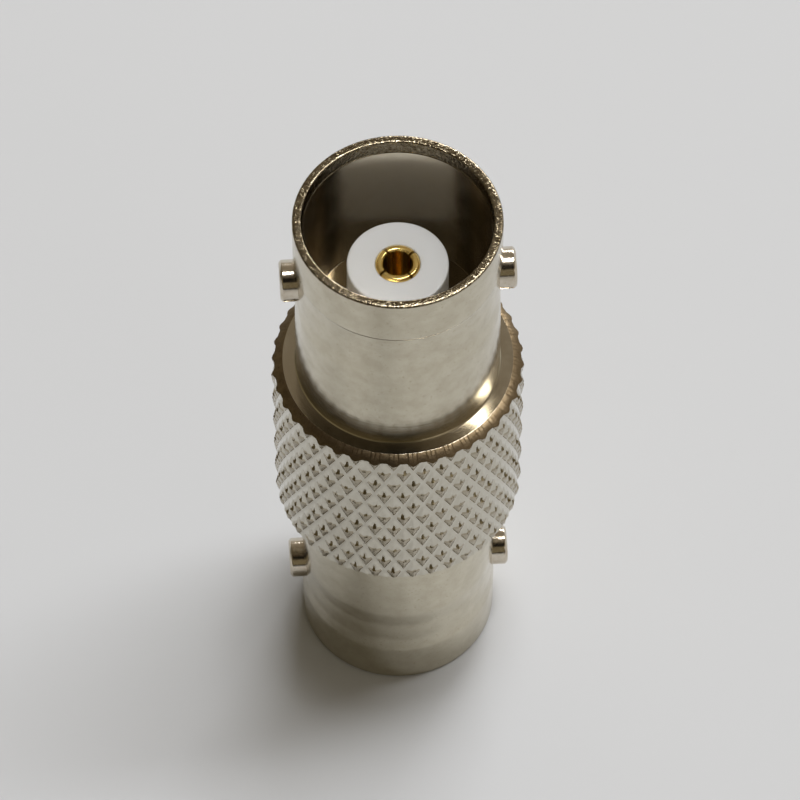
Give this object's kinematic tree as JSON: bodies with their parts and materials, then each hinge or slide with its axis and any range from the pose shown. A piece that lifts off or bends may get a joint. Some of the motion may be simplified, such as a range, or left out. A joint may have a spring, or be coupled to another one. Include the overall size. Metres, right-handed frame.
{
  "type": "coaxial bayonet barrel adapter",
  "caption": "Straight female-to-female coaxial barrel adapter: a slotted centre socket and bayonet lugs at each end, joined by a diamond-knurled sleeve.",
  "frame": {"origin": "centre of the lower mouth, on the plane that the adapter stands on", "axes": "+Z along the barrel from the lower mouth to the upper mouth, +X along the bayonet lugs"},
  "size_m": [0.012, 0.012, 0.0331],
  "materials": {
    "nickel": "bright nickel plate over turned brass",
    "nickel_knurl": "nickel plate over rolled knurling",
    "nickel_lug": "bright nickel plate over turned pins",
    "insulator": "white fluoropolymer, turned, slightly waxy",
    "gilt_contact": "gold plate over spring bronze"
  },
  "bodies": {
    "root": {"lower_jack_shell": "nickel", "upper_jack_shell": "nickel", "knurled_sleeve": "nickel_knurl", "lower_left_lug": "nickel_lug", "lower_right_lug": "nickel_lug", "upper_left_lug": "nickel_lug", "upper_right_lug": "nickel_lug", "lower_insulator": "insulator", "upper_insulator": "insulator", "centre_contact": "gilt_contact"}
  },
  "joints": []
}
